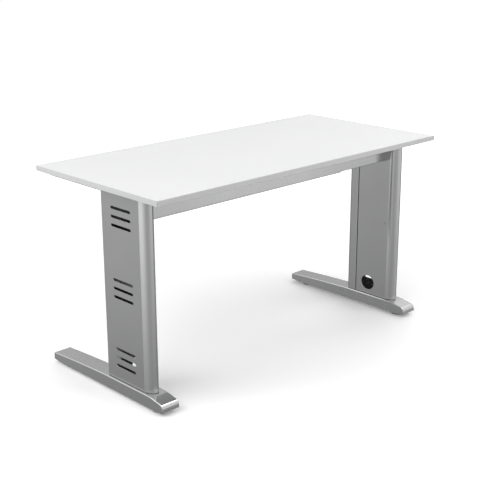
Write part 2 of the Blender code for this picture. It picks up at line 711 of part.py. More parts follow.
desktop()
foot()
foot_fixings()
glides()
front_upright()
rear_upright()
inner_panel()
outer_cover()
column_fixings()
cross_rail()
rail_ends()
support_arms()
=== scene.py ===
"""Looks of the office desk: finer pieces in place of the plain solids, materials, studio and camera.

Everything is in metres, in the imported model's frame: +X along the desk, the user on +Y, +Z up.
Pieces of a leg are drawn about the right leg's middle plane and mirrored for the left one.
"""

import math

import bmesh
import bpy
from mathutils import Matrix, Vector


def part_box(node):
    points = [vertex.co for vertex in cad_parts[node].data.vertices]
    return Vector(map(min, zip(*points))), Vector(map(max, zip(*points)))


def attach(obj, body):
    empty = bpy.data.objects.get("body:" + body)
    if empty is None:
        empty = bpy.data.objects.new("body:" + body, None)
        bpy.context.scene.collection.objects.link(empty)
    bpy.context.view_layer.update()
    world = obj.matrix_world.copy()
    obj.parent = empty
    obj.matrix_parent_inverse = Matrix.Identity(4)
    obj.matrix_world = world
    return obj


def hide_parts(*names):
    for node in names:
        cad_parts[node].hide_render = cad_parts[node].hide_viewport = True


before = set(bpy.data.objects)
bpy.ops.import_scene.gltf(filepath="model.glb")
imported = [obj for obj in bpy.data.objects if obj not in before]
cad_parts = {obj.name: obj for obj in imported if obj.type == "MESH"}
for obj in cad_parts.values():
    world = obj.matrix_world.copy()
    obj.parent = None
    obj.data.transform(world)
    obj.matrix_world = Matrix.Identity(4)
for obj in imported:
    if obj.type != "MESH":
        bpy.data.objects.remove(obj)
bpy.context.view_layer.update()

# -------------------- sizes taken from the frame

SIDES = ((-1, "left"), (1, "right"))
GAP = 0.0003                # between neighbouring parts
FAINT = 0.00005             # a gap too small to see

BOARD_LOW, BOARD_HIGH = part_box("desktop_board")
DESK_TOP = BOARD_HIGH.z

FOOT_LOW, FOOT_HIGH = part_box("foot_right")
LEG_CENTRE = (FOOT_LOW.x + FOOT_HIGH.x) / 2
FOOT_HALF = (FOOT_HIGH.x - FOOT_LOW.x) / 2

NOSE_LOW, NOSE_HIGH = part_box("front_upright_right")
HALF_COLUMN = (NOSE_HIGH.x - NOSE_LOW.x) / 2
COLUMN_FLOOR = NOSE_LOW.z
FRAME_TOP = NOSE_HIGH.z
NOSE_TIP = NOSE_LOW.y
WEB_REAR = NOSE_HIGH.y

COVER_LOW, COVER_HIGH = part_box("outer_cover_right")
SLEEVE_LOW, SLEEVE_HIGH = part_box("cross_rail_sleeve")
INSERT_LOW, INSERT_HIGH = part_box("cross_rail_insert")

SHEET = 0.0015              # thickness of the panels' and covers' metal
TUBE_WALL = 0.002           # of the uprights and the rail
FOOT_WALL = 0.003

BOLT_CLEARANCE = 0.0044     # radii of the holes for the bolts
LOCK_CLEARANCE = 0.0034     # for the screws that lock the rail's two parts
SCREW_CLEARANCE = 0.0024    # for the screws up into the board
EDGE_BREAK = 0.0003         # bevel on the edges of cut tubes
SHEET_BREAK = 0.0004        # and on those of panels, covers and feet
REACH = 0.005               # how far a cutter reaches past the sheet that it cuts
NEARLY = 0.0002             # how near a face's middle lies to the surface it is looked for on

# -------------------- materials


class Nodes:
    """A small helper for building a node tree."""

    def __init__(self, tree):
        self.tree = tree

    def add(self, kind, **settings):
        node = self.tree.nodes.new(kind)
        for key, value in settings.items():
            setattr(node, key, value)
        return node

    def link(self, source, target):
        self.tree.links.new(source, target)

    def remap(self, value, low, high, to_low=0.0, to_high=1.0):
        """Takes values between low and high to values between to_low and to_high."""
        node = self.add("ShaderNodeMapRange")
        node.inputs["From Min"].default_value = low
        node.inputs["From Max"].default_value = high
        node.inputs["To Min"].default_value = to_low
        node.inputs["To Max"].default_value = to_high
        self.link(value, node.inputs["Value"])
        return node.outputs["Result"]

    def maths(self, operation, first, second):
        """One operation on two values, each a number or another node's output."""
        node = self.add("ShaderNodeMath", operation=operation)
        for socket, value in zip(node.inputs, (first, second)):
            if isinstance(value, (int, float)):
                socket.default_value = value
            else:
                self.link(value, socket)
        return node.outputs["Value"]


class Finish(Nodes):
    """The node tree of a new material with one Principled shader."""

    def __init__(self, name):
        self.material = bpy.data.materials.new(name)
        self.material.use_nodes = True
        super().__init__(self.material.node_tree)
        self.shader = self.tree.nodes["Principled BSDF"]
        self.place = self.add("ShaderNodeTexCoord").outputs["Object"]

    def noise(self, scale, detail=2.0, roughness=0.5, vector=None):
        node = self.add("ShaderNodeTexNoise")
        node.inputs["Scale"].default_value = scale
        node.inputs["Detail"].default_value = detail
        node.inputs["Roughness"].default_value = roughness
        self.link(vector or self.place, node.inputs["Vector"])
        return node.outputs["Fac"]

    def mottle(self, scale, detail, low, high, to_low=0.0, to_high=1.0):
        """Noise whose values from low to high are spread from to_low to to_high."""
        return self.remap(self.noise(scale, detail), low, high, to_low, to_high)

    def streaks(self, scales, detail):
        """Noise with its own scale along each axis."""
        mapping = self.add("ShaderNodeMapping")
        mapping.inputs["Scale"].default_value = scales
        self.link(self.place, mapping.inputs["Vector"])
        return self.noise(1.0, detail, vector=mapping.outputs["Vector"])

    def cells(self, scale, feature="F1", output="Distance"):
        node = self.add("ShaderNodeTexVoronoi", feature=feature)
        node.inputs["Scale"].default_value = scale
        self.link(self.place, node.inputs["Vector"])
        return node.outputs[output]

    def blend(self, factor, first, second):
        """Mixes two colours, each a tuple or another node's output."""
        node = self.add("ShaderNodeMix", data_type="RGBA")
        self.link(factor, node.inputs["Factor"])
        for socket, value in ((node.inputs[6], first), (node.inputs[7], second)):
            if isinstance(value, tuple):
                socket.default_value = (*value, 1.0)
            else:
                self.link(value, socket)
        return node.outputs[2]

    def edge_mask(self, width):
        """One on outer edges, nought on flat faces: for wear on edges, and for the silver paint's painted
        edge highlight.
        """
        bevel = self.add("ShaderNodeBevel", samples=4)
        bevel.inputs["Radius"].default_value = width
        geometry = self.add("ShaderNodeNewGeometry")
        dot = self.add("ShaderNodeVectorMath", operation="DOT_PRODUCT")
        self.link(bevel.outputs["Normal"], dot.inputs[0])
        self.link(geometry.outputs["Normal"], dot.inputs[1])
        return self.remap(dot.outputs["Value"], 0.99, 0.80)

    def edge_wear_and_highlight(self, width, amount):
        """The edge mask, weakened by an amount that may vary over the surface."""
        return self.maths("MULTIPLY", self.edge_mask(width), amount)

    def bump(self, height, strength, distance):
        node = self.add("ShaderNodeBump")
        node.inputs["Strength"].default_value = strength
        node.inputs["Distance"].default_value = distance
        self.link(height, node.inputs["Height"])
        self.link(node.outputs["Normal"], self.shader.inputs["Normal"])

    def set(self, **values):
        """Sets the shader's sockets, named with underscores for spaces."""
        for name, value in values.items():
            self.shader.inputs[name.replace("_", " ")].default_value = value

    def colour(self, output):
        self.link(output, self.shader.inputs["Base Color"])

    def rough(self, output):
        self.link(output, self.shader.inputs["Roughness"])


def silver_powder_coat():
    """Silver paint: a fine metallic fleck, a slight orange peel, and a painted highlight that makes its
    edges lighter.
    """
    m = Finish("silver_powder_coat")
    m.set(Metallic=0.90, IOR=1.5)
    clouds = m.mottle(5.0, 3.0, 0.3, 0.7)
    base = m.blend(clouds, (0.505, 0.507, 0.511), (0.530, 0.532, 0.536))
    fleck = m.remap(m.cells(2600.0, output="Color"), 0.78, 1.0, 0.0, 0.10)
    flecked = m.blend(fleck, base, (0.78, 0.79, 0.80))
    # painted highlight: the edges get a lighter colour, stronger in patches
    wear_and_highlight = m.edge_wear_and_highlight(0.0010, m.mottle(60.0, 3.0, 0.35, 0.75, 0.15, 0.60))
    m.colour(m.blend(wear_and_highlight, flecked, (0.72, 0.72, 0.72)))
    peel = m.noise(700.0, 2.0)
    smudges = m.remap(m.noise(9.0, 4.0, 0.6), 0.3, 0.7, -0.02, 0.02)
    m.rough(m.maths("ADD", m.remap(peel, 0.3, 0.7, 0.17, 0.21), smudges))
    m.bump(peel, 0.06, 0.0002)
    return m.material


def painted_duct_shade():
    """Painted shade for the inside of the columns and feet: near-black, so that slots and holes look dark.
    """
    m = Finish("painted_shade_inside")
    m.set(Specular_IOR_Level=0.08)
    patches = m.remap(m.noise(14.0, 4.0, 0.65), 0.35, 0.7)
    grain = m.streaks((900.0, 900.0, 60.0), 2.0)
    # painted shade: near-black with a faint grain, standing in for the shadow inside the column
    dark_grain = m.blend(grain, (0.006, 0.006, 0.006), (0.012, 0.012, 0.012))
    m.colour(m.blend(patches, dark_grain, (0.018, 0.018, 0.018)))
    m.rough(m.remap(patches, 0.0, 1.0, 0.55, 0.75))
    m.bump(grain, 0.15, 0.0001)
    return m.material


def melamine_face():
    """White melamine: a pearled surface with faint variation in gloss."""
    m = Finish("white_melamine")
    m.set(IOR=1.5)
    tone = m.mottle(3.0, 3.0, 0.3, 0.7)
    m.colour(m.blend(tone, (0.735, 0.737, 0.741), (0.750, 0.752, 0.755)))
    pearls = m.cells(900.0, "SMOOTH_F1")
    fibres = m.streaks((90.0, 700.0, 700.0), 3.0)
    smears = m.mottle(7.0, 4.0, 0.3, 0.7, -0.02, 0.03)
    m.rough(m.maths("ADD", m.remap(pearls, 0.0, 0.8, 0.40, 0.50), smears))
    m.bump(m.maths("ADD", pearls, m.maths("MULTIPLY", fibres, 0.4)), 0.12, 0.00015)
    return m.material


def edge_strip_plastic(name, along):
    """White extruded edging, with fine lines along its length. Along is 0 for X and 1 for Y."""
    m = Finish(name)
    m.set(IOR=1.48)
    scales = [1200.0, 1200.0, 1200.0]
    scales[along] = 6.0
    lines = m.streaks(scales, 2.0)
    tone = m.mottle(8.0, 2.0, 0.3, 0.7)
    plain = m.blend(tone, (0.725, 0.727, 0.731), (0.745, 0.746, 0.749))
    handled = m.edge_wear_and_highlight(0.0008, m.mottle(40.0, 3.0, 0.4, 0.7, 0.0, 0.35))
    m.colour(m.blend(handled, plain, (0.86, 0.86, 0.86)))
    m.rough(m.remap(lines, 0.3, 0.7, 0.32, 0.42))
    m.bump(lines, 0.10, 0.0001)
    return m.material


def chipboard_core():
    """Raw chipboard, where the board's core shows in a screw hole."""
    m = Finish("chipboard_core")
    chips = m.cells(450.0, output="Color")
    m.colour(m.blend(m.remap(chips, 0.2, 0.9), (0.33, 0.22, 0.13), (0.62, 0.48, 0.32)))
    m.rough(m.remap(chips, 0.0, 1.0, 0.75, 0.95))
    m.bump(chips, 0.5, 0.0004)
    return m.material


def zinc_plate():
    """Bright zinc on screws, bolts and studs, with a faint yellowish bloom."""
    m = Finish("zinc_plate")
    m.set(Metallic=1.0)
    bloom = m.mottle(180.0, 3.0, 0.35, 0.7)
    base = m.blend(bloom, (0.60, 0.61, 0.62), (0.66, 0.64, 0.58))
    m.colour(m.blend(m.edge_wear_and_highlight(0.0006, 0.5), base, (0.80, 0.80, 0.80)))
    m.rough(m.mottle(500.0, 3.0, 0.3, 0.7, 0.24, 0.42))
    m.bump(m.noise(900.0, 2.0), 0.12, 0.0001)
    return m.material


def black_coated_steel():
    """Black coated steel plates, rubbed down to the metal on their edges."""
    m = Finish("black_coated_steel")
    m.set(Metallic=0.5)
    dust = m.remap(m.noise(30.0, 4.0, 0.6), 0.4, 0.8, 0.0, 0.5)
    base = m.blend(dust, (0.028, 0.028, 0.030), (0.075, 0.073, 0.070))
    wear_and_highlight = m.edge_wear_and_highlight(0.0010, m.mottle(150.0, 3.0, 0.4, 0.7, 0.0, 0.8))
    m.colour(m.blend(wear_and_highlight, base, (0.38, 0.37, 0.36)))
    m.rough(m.mottle(250.0, 3.0, 0.3, 0.7, 0.40, 0.60))
    m.bump(m.noise(800.0, 2.0), 0.2, 0.0002)
    return m.material


def grey_moulded_plastic():
    """Grey nylon of the glides and plugs: a spark-eroded grain, scuffed at the rim."""
    m = Finish("grey_moulded_plastic")
    m.set(IOR=1.5)
    grain = m.cells(1800.0)
    clouds = m.mottle(40.0, 3.0, 0.3, 0.7)
    base = m.blend(clouds, (0.215, 0.220, 0.226), (0.255, 0.260, 0.266))
    scuffs = m.edge_wear_and_highlight(0.0010, m.mottle(220.0, 3.0, 0.4, 0.7, 0.0, 0.7))
    m.colour(m.blend(scuffs, base, (0.42, 0.42, 0.42)))
    m.rough(m.remap(grain, 0.0, 0.7, 0.46, 0.62))
    m.bump(grain, 0.25, 0.0001)
    return m.material


SILVER = silver_powder_coat()
SHADE_INSIDE = painted_duct_shade()
MELAMINE = melamine_face()
EDGINGS = (edge_strip_plastic("edge_strip_long", 0), edge_strip_plastic("edge_strip_short", 1))
CORE = chipboard_core()
ZINC = zinc_plate()
BLACK_STEEL = black_coated_steel()
GREY_PLASTIC = grey_moulded_plastic()

# -------------------- modelling helpers

SAME_POINT = 0.000002
TURN_TO_AXIS = {
    "X": Matrix(((0, 0, 1, 0), (1, 0, 0, 0), (0, 1, 0, 0), (0, 0, 0, 1))),
    "Z": Matrix.Identity(4),
}


def workpiece(data):
    """Links data as a temporary object for its modifiers to be evaluated on."""
    piece = bpy.data.objects.new("workpiece", data)
    bpy.context.scene.collection.objects.link(piece)
    return piece


def evaluated_mesh(piece):
    """The piece's mesh after its modifiers. The piece itself is removed."""
    bpy.context.view_layer.update()
    depsgraph = bpy.context.evaluated_depsgraph_get()
    mesh = bpy.data.meshes.new_from_object(piece.evaluated_get(depsgraph))
    bpy.data.objects.remove(piece, do_unlink=True)
    return mesh


def mesh_from(bm):
    """Turns a bmesh into a mesh."""
    mesh = bpy.data.meshes.new("mesh")
    bm.to_mesh(mesh)
    bm.free()
    return mesh


def solid_from(bm):
    """Turns a closed bmesh into a mesh with its faces pointing out."""
    bmesh.ops.recalc_face_normals(bm, faces=bm.faces)
    return mesh_from(bm)


def box(low, high):
    """A box between two corners, as a blank or a cutter."""
    bm = bmesh.new()
    bmesh.ops.create_cube(bm, size=1.0)
    bmesh.ops.scale(bm, vec=[b - a for a, b in zip(low, high)], verts=bm.verts)
    bmesh.ops.translate(bm, vec=[(a + b) / 2 for a, b in zip(low, high)], verts=bm.verts)
    return solid_from(bm)


def cylinder(radius, low, high, centre, axis="Z", segments=24):
    """A cylinder cutter along X or Z. The centre gives the other two coordinates, in order."""
    bm = bmesh.new()
    bmesh.ops.create_cone(bm, cap_ends=True, segments=segments, radius1=radius, radius2=radius,
                          depth=high - low)
    bmesh.ops.translate(bm, vec=(centre[0], centre[1], (low + high) / 2), verts=bm.verts)
    bmesh.ops.transform(bm, matrix=TURN_TO_AXIS[axis], verts=bm.verts)
    return solid_from(bm)


def arc(centre, radius_across, radius_up, start, end, steps):
    """Points along an elliptical arc, angles in degrees."""
    points = []
    for step in range(steps + 1):
        angle = math.radians(start + (end - start) * step / steps)
        across = centre[0] + radius_across * math.cos(angle)
        points.append((across, centre[1] + radius_up * math.sin(angle)))
    return points


def prism(outlines, low, high, axis="Z"):
    """Extrudes flat outlines along an axis. Outlines inside the first one become holes."""
    curve = bpy.data.curves.new("outline", "CURVE")
    curve.dimensions = "2D"
    curve.fill_mode = "BOTH"
    curve.extrude = (high - low) / 2
    for outline in outlines:
        spline = curve.splines.new("POLY")
        spline.points.add(len(outline) - 1)
        for point, (across, up) in zip(spline.points, outline):
            point.co = (across, up, 0.0, 1.0)
        spline.use_cyclic_u = True
    flat = evaluated_mesh(workpiece(curve))
    bm = bmesh.new()
    bm.from_mesh(flat)
    bmesh.ops.remove_doubles(bm, verts=bm.verts, dist=SAME_POINT)
    bmesh.ops.translate(bm, vec=(0.0, 0.0, (low + high) / 2), verts=bm.verts)
    bmesh.ops.transform(bm, matrix=TURN_TO_AXIS[axis], verts=bm.verts)
    return solid_from(bm)


def with_bends(corners, radius, steps=8):
    """Rounds each corner of an open path that isn't one of its two ends."""
    path = [corners[0]]
    for before, corner, after in zip(corners, corners[1:], corners[2:]):
        here = Vector(corner)
        back = (Vector(before) - here).normalized()
        onward = (Vector(after) - here).normalized()
        half_angle = back.angle(onward) / 2
        centre = here + (back + onward).normalized() * (radius / math.sin(half_angle))
        reach = radius / math.tan(half_angle)
        sweep_from = here + back * reach - centre
        sweep_to = here + onward * reach - centre
        for step in range(steps + 1):
            outward = sweep_from.slerp(sweep_to, step / steps).normalized()
            path.append(tuple(centre + outward * radius))
    path.append(corners[-1])
    return path


def folded_sheet(path, thickness, low, high, axis="Z"):
    """Sheet metal folded along a path and run along an axis. The metal lies left of the path."""
    bm = bmesh.new()
    rails = [[bm.verts.new((across, up, level)) for across, up in path] for level in (low, high)]
    for index in range(len(path) - 1):
        bm.faces.new((rails[0][index], rails[0][index + 1], rails[1][index + 1], rails[1][index]))
    bmesh.ops.transform(bm, matrix=TURN_TO_AXIS[axis], verts=bm.verts)
    sheet = workpiece(mesh_from(bm))
    solidify = sheet.modifiers.new("thickness", "SOLIDIFY")
    solidify.thickness = thickness
    solidify.offset = -1.0
    solidify.use_even_offset = True
    return evaluated_mesh(sheet)


def spun(profile, segments, pitch=0.0, turns=1):
    """Turns (radius, height) points about Z. With a pitch it winds the closed profile upwards."""
    bm = bmesh.new()
    points = [bm.verts.new((radius, 0.0, height)) for radius, height in profile]
    for first, second in zip(points, points[1:] + (points[:1] if pitch else [])):
        bm.edges.new((first, second))
    blank = workpiece(mesh_from(bm))
    screw = blank.modifiers.new("turn", "SCREW")
    screw.steps = segments
    screw.render_steps = segments
    screw.screw_offset = pitch
    screw.iterations = turns
    screw.use_merge_vertices = not pitch
    screw.merge_threshold = 0.00001
    return evaluated_mesh(blank)


def turned(profile, centre=(0.0, 0.0, 0.0), segments=64, axis="Z"):
    """Turns a profile, listed from top to bottom, about an axis through a centre."""
    mesh = spun(profile, segments)
    mesh.transform(Matrix.Translation(centre) @ TURN_TO_AXIS[axis])
    return mesh


def joined(*meshes):
    """Groups meshes into one, without a Boolean."""
    bm = bmesh.new()
    for mesh in meshes:
        bm.from_mesh(mesh)
    return mesh_from(bm)


def cut(mesh, *cutters):
    """Takes each of the cutters away from a mesh."""
    body = workpiece(mesh)
    tools = [workpiece(cutter) for cutter in cutters]
    for tool in tools:
        boolean = body.modifiers.new("boolean", "BOOLEAN")
        boolean.operation = "DIFFERENCE"
        boolean.solver = "EXACT"
        boolean.object = tool
    result = evaluated_mesh(body)
    for tool in tools:
        bpy.data.objects.remove(tool, do_unlink=True)
    return result


def rounded(mesh, radius, segments, chosen):
    """Bevels the edges for which chosen(middle point, direction) is true."""
    bm = bmesh.new()
    bm.from_mesh(mesh)
    bmesh.ops.dissolve_limit(bm, angle_limit=math.radians(0.4), verts=bm.verts, edges=bm.edges)
    edges = []
    for edge in bm.edges:
        start, end = (vert.co for vert in edge.verts)
        if chosen((start + end) / 2, (end - start).normalized()):
            edges.append(edge)
    bmesh.ops.bevel(bm, geom=edges, offset=radius, segments=segments, profile=0.5, affect="EDGES")
    return solid_from(bm)


def softened(mesh, width, segments=2, angle=30.0):
    """Breaks every sharp edge with a small bevel and shades the whole smoothly."""
    piece = workpiece(mesh)
    weld = piece.modifiers.new("weld", "WELD")
    weld.merge_threshold = SAME_POINT
    bevel = piece.modifiers.new("broken edges", "BEVEL")
    bevel.limit_method = "ANGLE"
    bevel.angle_limit = math.radians(angle)
    bevel.width = width
    bevel.segments = segments
    bevel.use_clamp_overlap = True
    result = evaluated_mesh(piece)
    result.shade_smooth()
    result.set_sharp_from_angle(angle=math.radians(50))
    return result


def with_flat_faces(mesh):
    """Weights the normals by face area, so that flat faces are shaded flat up to their bevels."""
    piece = workpiece(mesh)
    weighted = piece.modifiers.new("weighted normals", "WEIGHTED_NORMAL")
    weighted.mode = "FACE_AREA"
    weighted.weight = 100
    weighted.keep_sharp = True
    return evaluated_mesh(piece)


def paint_inside(mesh, is_inside):
    """Gives the second material to the faces for which is_inside(centre, normal) is true."""
    for face in mesh.polygons:
        if is_inside(face.center, face.normal):
            face.material_index = 1


def add_piece(name, mesh, body, materials, nodes):
    """Adds a finished mesh as a piece that rides on a body and stands for CAD nodes."""
    mesh = with_flat_faces(mesh)
    mesh.name = name
    mesh.materials.clear()
    for material in materials:
        mesh.materials.append(material)
    piece = bpy.data.objects.new(name, mesh)
    bpy.context.scene.collection.objects.link(piece)
    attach(piece, body)
    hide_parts(*nodes)


def add_leg_pieces(base, mesh, materials, node, body="root"):
    """Adds a piece drawn about a leg's middle plane to the right leg, and its mirror to the left."""
    for side, suffix in SIDES:
        placed = mesh.copy()
        placed.transform(Matrix.Translation((LEG_CENTRE, 0.0, 0.0)))
        if side < 0:
            placed.transform(Matrix.Scale(-1.0, 4, (1.0, 0.0, 0.0)))
            placed.flip_normals()
        rides_on = body if body == "root" else f"{body}_{suffix}"
        add_piece(f"{base}_{suffix}", placed, rides_on, materials, [f"{node}_{suffix}"])


def add_leg_metal(base, mesh, is_inside, node, body="root"):
    """Adds a silver piece to both legs, with painted shade where is_inside(centre, normal) is true."""
    paint_inside(mesh, is_inside)
    add_leg_pieces(base, mesh, [SILVER, SHADE_INSIDE], node, body)


def leg_local(node):
    """A right-leg node's box, with X measured from the leg's middle plane."""
    low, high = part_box(f"{node}_right")
    shift = Vector((LEG_CENTRE, 0.0, 0.0))
    return low - shift, high - shift


def middle_of(node):
    """The middle of a right-leg node, with X measured from the leg's middle plane."""
    low, high = leg_local(node)
    return (low + high) / 2


# -------------------- desk top


def board():
    """The panel, its face and edges melamine white, with chipboard showing in the screw holes."""
    low, high = BOARD_LOW, BOARD_HIGH
    grow = GAP - FAINT
    panel = box((low.x - grow, low.y - grow, low.z), (high.x + grow, high.y + grow, high.z))
    drills = []
    for screw in ("arm_screw_front", "arm_screw_rear", "rail_top_screw"):
        for _, suffix in SIDES:
            screw_low, screw_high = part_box(f"{screw}_{suffix}")
            centre = ((screw_low + screw_high) / 2).xy
            drills.append(cylinder(SCREW_CLEARANCE, low.z - REACH, screw_high.z + 0.001, centre, "Z", 20))
    panel = softened(cut(panel, joined(*drills)), 0.00015, 1)

    def is_in_hole(centre, _normal):
        margin = 0.01
        within = all(low[axis] + margin < centre[axis] < high[axis] - margin for axis in (0, 1))
        return within and low.z + SHEET_BREAK < centre.z < high.z - 0.004

    paint_inside(panel, is_in_hole)
    add_piece("desk_top_board", panel, "root", [MELAMINE, CORE], ["desktop_board"])


def edge_strips():
    """Four strips with rounded outer corners, glued to the board's edges."""
    for name in ("user_side", "visitor_side", "left", "right"):
        node = f"edge_band_{name}"
        low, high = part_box(node)
        along = 0 if high.x - low.x > high.y - low.y else 1
        across = 1 - along
        face = max(low[across], high[across], key=abs)

        def is_outer(middle, direction):
            """All edges of a long strip's outer face, and the lengthwise ones of a short strip's."""
            on_face = abs(middle[across] - face) < 1e-5
            return on_face and (along == 0 or abs(direction.y) > 0.9)

        strip = rounded(box(low, high), 0.0010, 4, is_outer)
        strip.shade_smooth()
        add_piece(f"edge_strip_{name}", strip, "root", [EDGINGS[along]], [node])


# -------------------- feet and glides

FOOT_TOP = FOOT_HIGH.z
FOOT_FRONT = FOOT_LOW.y
FOOT_REAR = FOOT_HIGH.y
FOOT_UNDERSIDE = FOOT_LOW.z
TIP_RISE = 0.004            # of both tips' lower edges above the level underside
REAR_TIP_DROP = 0.0149      # of the rear tip's upper edge below the top
REAR_TIP_RADIUS = 0.004
REAR_BULGE = 0.0016
LEVEL_BEHIND_COLUMN = 0.006
FRONT_TIP_DROP = 0.009
FRONT_RADIUS = 0.017
TOE_RADIUS = 0.005
KNEE = -0.2305              # middle of the bend between level top and front slope
KNEE_REACH = 0.014
LEVEL_PAST_FRONT_GLIDE = 0.022
LEVEL_PAST_REAR_GLIDE = 0.030
BELOW_FLOOR = -0.010        # where the cutter of the hollow ends
FOOT_EDGE = 0.003           # radius of the long upper edges
COLUMN_REAR = COVER_HIGH.y


def foot_outline(inset=0.0):
    """The foot's side view as (Y, Z) points. With an inset it is the hollow, open below."""
    front = FOOT_FRONT + inset
    rear = FOOT_REAR - inset
    top = FOOT_TOP - inset
    rear_top = top - REAR_TIP_DROP
    radius = FRONT_RADIUS - inset
    tip = (front + radius, top - FRONT_TIP_DROP - radius)
    slope = math.degrees(math.atan2(FRONT_TIP_DROP, KNEE - FOOT_FRONT - FRONT_RADIUS))
    heel = (rear - REAR_TIP_RADIUS, rear_top - REAR_TIP_RADIUS)
    outline = arc(heel, REAR_TIP_RADIUS, REAR_TIP_RADIUS, 0, 84, 6)
    outline += rear_fall((heel[0], rear_top), (COLUMN_REAR + LEVEL_BEHIND_COLUMN, top))
    outline += knee(top, slope)
    outline += arc(tip, radius, radius, 90 + slope, 180, 10)
    if inset:
        return outline + [(front, BELOW_FLOOR), (rear, BELOW_FLOOR)]
    toe = (front + TOE_RADIUS, FOOT_UNDERSIDE + TIP_RISE + TOE_RADIUS)
    outline += arc(toe, TOE_RADIUS, TOE_RADIUS, 180, 264, 8)
    outline += [(FRONT_GLIDE.y - LEVEL_PAST_FRONT_GLIDE, FOOT_UNDERSIDE)]
    outline += [(REAR_GLIDE.y + LEVEL_PAST_REAR_GLIDE, FOOT_UNDERSIDE), (rear, FOOT_UNDERSIDE + TIP_RISE)]
    return outline


def rear_fall(tip, column, steps=12):
    """The gently arched top between the rear tip and the column, without the tip itself."""
    points = []
    for step in range(1, steps + 1):
        part = step / steps
        bulge = 4 * REAR_BULGE * part * (1 - part)
        along = tip[0] + (column[0] - tip[0]) * part
        points.append((along, tip[1] + (column[1] - tip[1]) * part + bulge))
    return points


def knee(top, slope, steps=12):
    """The gentle bend from the level top into the fall towards the front tip."""
    points = []
    for step in range(steps + 1):
        part = step / steps
        drop = math.tan(math.radians(slope)) * KNEE_REACH * part * part
        points.append((KNEE + KNEE_REACH * (1 - 2 * part), top - drop))
    return points


FRONT_GLIDE = middle_of("glide_stud_front")
REAR_GLIDE = middle_of("glide_stud_rear")


def bolt_holes(bolt, places, low, high, axis):
    """A cutter for the clearance holes of a leg's bolts through metal that lies from low to high."""
    holes = []
    for place in places:
        middle = middle_of(f"{bolt}_{place}")
        centre = middle.xy if axis == "Z" else middle.yz
        holes.append(cylinder(BOLT_CLEARANCE, low - REACH, high + REACH, centre, axis))
    return joined(*holes)


def foot():
    """The formed steel foot: rounded upper edges, open below, with clearance holes."""
    body = prism([foot_outline()], -FOOT_HALF, FOOT_HALF, "X")

    def is_side_edge(middle, direction):
        on_side = abs(abs(middle.x) - FOOT_HALF) < 1e-6 and abs(direction.x) < 0.1
        return on_side and middle.z > FOOT_UNDERSIDE + TIP_RISE + TOE_RADIUS + 0.001

    body = rounded(body, FOOT_EDGE, 8, is_side_edge)
    inner = FOOT_HALF - FOOT_WALL
    hollow = prism([foot_outline(FOOT_WALL)], -inner, inner, "X")
    holes = bolt_holes("column_bolt", ("front", "rear"), FOOT_TOP - FOOT_WALL, FOOT_TOP, "Z")
    shell = softened(cut(body, hollow, holes), SHEET_BREAK, 2, 50.0)

    # the hollow's faces get the painted shade
    def is_in_hollow(centre, normal):
        inside = abs(centre.x) < inner + NEARLY and centre.z < FOOT_TOP - FOOT_WALL + NEARLY
        return inside and (abs(normal.x) > 0.9 or normal.z < -0.2)

    add_leg_metal("foot_shell", shell, is_in_hollow, "foot")


RIM_NOTCHES = 24
NOTCH_RADIUS = 0.0012
NOTCH_OFFSET = 0.0006       # of the notches' middles outside the rim


def pad_profile(radius, top):
    """A pad from the middle of its top outwards: boss, sloping shoulder, rim and broken lower edge."""
    boss = [(0.0, top), (radius * 0.50, top), (radius * 0.56, top - 0.0005), (radius * 0.62, top - 0.0016)]
    shoulder = [(radius * 0.90, top - 0.0022), (radius * 0.96, top - 0.0028), (radius, top - 0.0040)]
    rim = [(radius, 0.0012), (radius - 0.0004, 0.0004), (radius - 0.0014, 0.0), (0.0, 0.0)]
    return boss + shoulder + rim


def glides():
    """Glide pads with a raised boss and a ribbed rim, and studs with a real thread."""
    for where in ("front", "rear"):
        low, high = leg_local(f"glide_pad_{where}")
        middle = (low + high) / 2
        radius = (high.x - low.x) / 2
        pad = turned(pad_profile(radius, high.z), (middle.x, middle.y, 0.0), 72)
        ring = radius + NOTCH_OFFSET
        places = arc(middle, ring, ring, 0, 360 - 360 / RIM_NOTCHES, RIM_NOTCHES - 1)
        notches = [cylinder(NOTCH_RADIUS, 0.0015, high.z + 0.002, place, segments=12) for place in places]
        pad = softened(cut(pad, joined(*notches)), 0.0002, 2)
        body = f"glide_{where}"
        pad_node = f"glide_pad_{where}"
        add_leg_pieces(f"glide_foot_{where}", pad, [GREY_PLASTIC], pad_node, body)
        stud_node = f"glide_stud_{where}"
        stud = threaded_stud(*leg_local(stud_node))
        add_leg_pieces(f"glide_thread_{where}", stud, [ZINC], stud_node, body)


def threaded_stud(low, high, pitch=0.0015):
    """A plain core with a collar below and a helical thread wound round it."""
    radius = (high.x - low.x) / 2
    root = radius - pitch * 0.5
    chamfer = 0.0008
    collar = radius - 0.0002
    collar_top = low.z + 0.003
    core = turned(((0.0, high.z), (root - chamfer, high.z), (root, high.z - chamfer), (root, collar_top),
                   (collar, collar_top), (collar, low.z), (0.0, low.z)), segments=32)
    base = collar_top + 0.0005
    sunk = root - 0.0002
    tooth = ((sunk, base), (radius, base + pitch * 0.42), (radius, base + pitch * 0.50),
             (sunk, base + pitch * 0.92))
    bm = bmesh.new()
    bm.from_mesh(spun(tooth, 32, pitch, int((high.z - low.z - 0.005) / pitch)))
    bmesh.ops.holes_fill(bm, edges=[edge for edge in bm.edges if edge.is_boundary])
    stud = joined(core, solid_from(bm))
    middle = (low + high) / 2
    stud.transform(Matrix.Translation((middle.x, middle.y, 0.0)))
    stud.shade_smooth()
    stud.set_sharp_from_angle(angle=math.radians(32))
    return stud


# -------------------- columns

